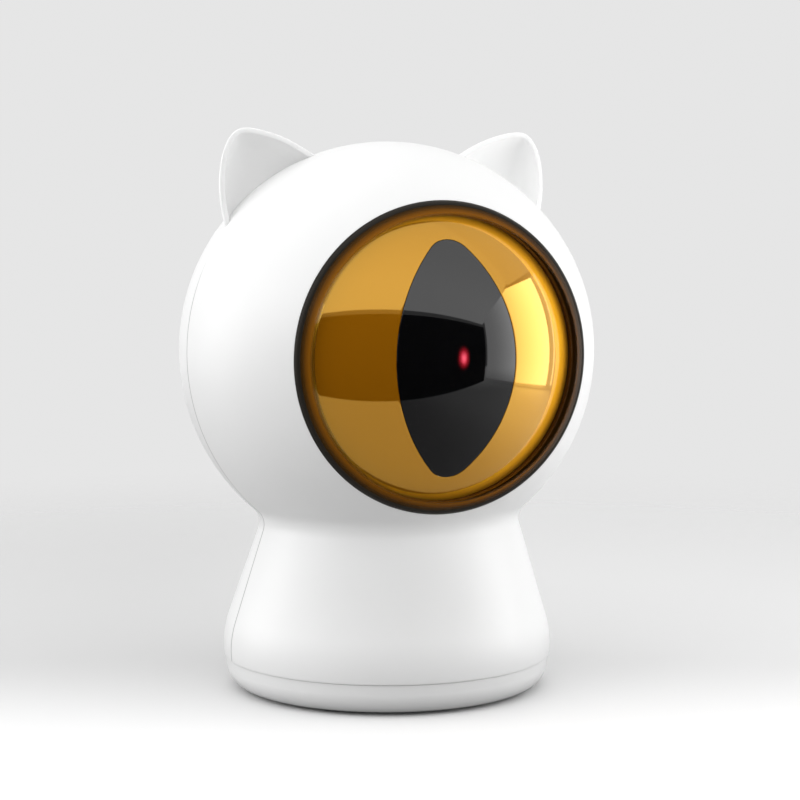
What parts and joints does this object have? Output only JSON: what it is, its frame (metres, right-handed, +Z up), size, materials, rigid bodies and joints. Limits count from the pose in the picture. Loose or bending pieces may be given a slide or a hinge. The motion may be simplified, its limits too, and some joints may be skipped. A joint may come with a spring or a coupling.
{
  "type": "automatic cat laser toy",
  "caption": "Cat-shaped desktop laser toy: eared sphere head on a flared neck, domed slit-pupil eye, two-axis geared laser inside, rear button and charging socket.",
  "frame": {"origin": "centre of the underside, at the level of the rubber feet", "axes": "+Z up, the eye looks along -Y, +X to the right of someone looking along +Y"},
  "size_m": [0.085, 0.085, 0.1141],
  "materials": {
    "white_shell": "satin moulded white",
    "black_ring": "gloss black",
    "clear_lens": "polished clear",
    "amber_metal": "vacuum-coated amber, mirror bright",
    "smoked_window": "gloss smoked black",
    "inner_plastic": "fine matt black",
    "gear_plastic": "natural acetal",
    "steel": "ground",
    "motor_can": "drawn zinc-plated can",
    "screw_steel": "zinc plated",
    "brass": "turned",
    "laser_glass": "polished, lit red",
    "board_green": "solder mask",
    "chip_black": "moulded epoxy",
    "capacitor_can": "sleeved can",
    "connector_white": "nylon",
    "socket_steel": "nickel plated",
    "battery_foil": "foil pouch",
    "foam_pad": "foam tape",
    "lead_sleeve": "insulation",
    "clear_pipe": "polished clear",
    "foot_rubber": "matt"
  },
  "bodies": {
    "housing": {"front_shell": "white_shell", "rear_shell": "white_shell", "base_cover": "white_shell", "lens_ring": "black_ring", "eye_lens": "clear_lens", "iris_shell": "amber_metal", "pupil_window": "smoked_window", "eye_retainer": "inner_plastic", "mech_frame": "inner_plastic", "pan_motor": "motor_can", "shell_screws": "screw_steel", "base_screws": "screw_steel", "retainer_screws": "screw_steel", "frame_screws": "screw_steel", "pcb_screws": "screw_steel", "pan_motor_screws": "screw_steel", "switch_board_screws": "screw_steel", "pan_bush": "brass", "main_pcb": "board_green", "switch_board": "board_green", "controller_chip": "chip_black", "driver_chips": "chip_black", "tact_switch": "chip_black", "capacitors": "capacitor_can", "battery_connector": "connector_white", "motor_connector": "connector_white", "usb_socket": "socket_steel", "battery": "battery_foil", "battery_pad": "foam_pad", "battery_lead": "lead_sleeve", "motor_lead": "lead_sleeve", "light_pipe": "clear_pipe", "status_led": "clear_pipe", "rubber_feet": "foot_rubber"},
    "pan_fork": {"pan_yoke": "inner_plastic", "pan_gear": "gear_plastic", "pan_shaft": "steel", "pan_clip": "steel", "tilt_motor": "motor_can", "tilt_motor_screws": "screw_steel"},
    "laser_head": {"laser_cradle": "inner_plastic", "laser_barrel": "brass", "laser_lens": "laser_glass", "laser_driver": "board_green", "tilt_gear": "gear_plastic", "tilt_pins": "steel"},
    "pan_drive": {"pan_pinion": "brass", "pan_motor_shaft": "steel"},
    "tilt_drive": {"tilt_pinion": "brass", "tilt_motor_shaft": "steel"},
    "button": {"power_button": "white_shell", "switch_plunger": "connector_white"}
  },
  "joints": [
    {"name": "laser_pan", "type": "hinge", "parent": "housing", "child": "pan_fork", "pos_m": [0, -0.022, 0.0693], "axis": [0, 0, 1], "range_deg": [-30, 30]},
    {"name": "laser_tilt", "type": "hinge", "parent": "pan_fork", "child": "laser_head", "pos_m": [0, -0.022, 0.0693], "axis": [1, 0, 0], "range_deg": [-15, 35]},
    {"name": "pan_pinion_spin", "type": "hinge", "parent": "housing", "child": "pan_drive", "pos_m": [0, -0.00792, 0.053], "axis": [0, 0, 1], "range_deg": [-91, 91]},
    {"name": "tilt_pinion_spin", "type": "hinge", "parent": "pan_fork", "child": "tilt_drive", "pos_m": [0.006, -0.00942, 0.0693], "axis": [1, 0, 0], "range_deg": [-91, 39.5]},
    {"name": "button_press", "type": "slide", "parent": "housing", "child": "button", "axis": [0, -0.922, -0.3872], "range_m": [0, 0.0006], "stiffness_N_per_m": 1200}
  ],
  "couplings": [
    {"joint": "pan_pinion_spin", "follows": "laser_pan", "ratio": -3},
    {"joint": "tilt_pinion_spin", "follows": "laser_tilt", "ratio": -2.5714}
  ]
}
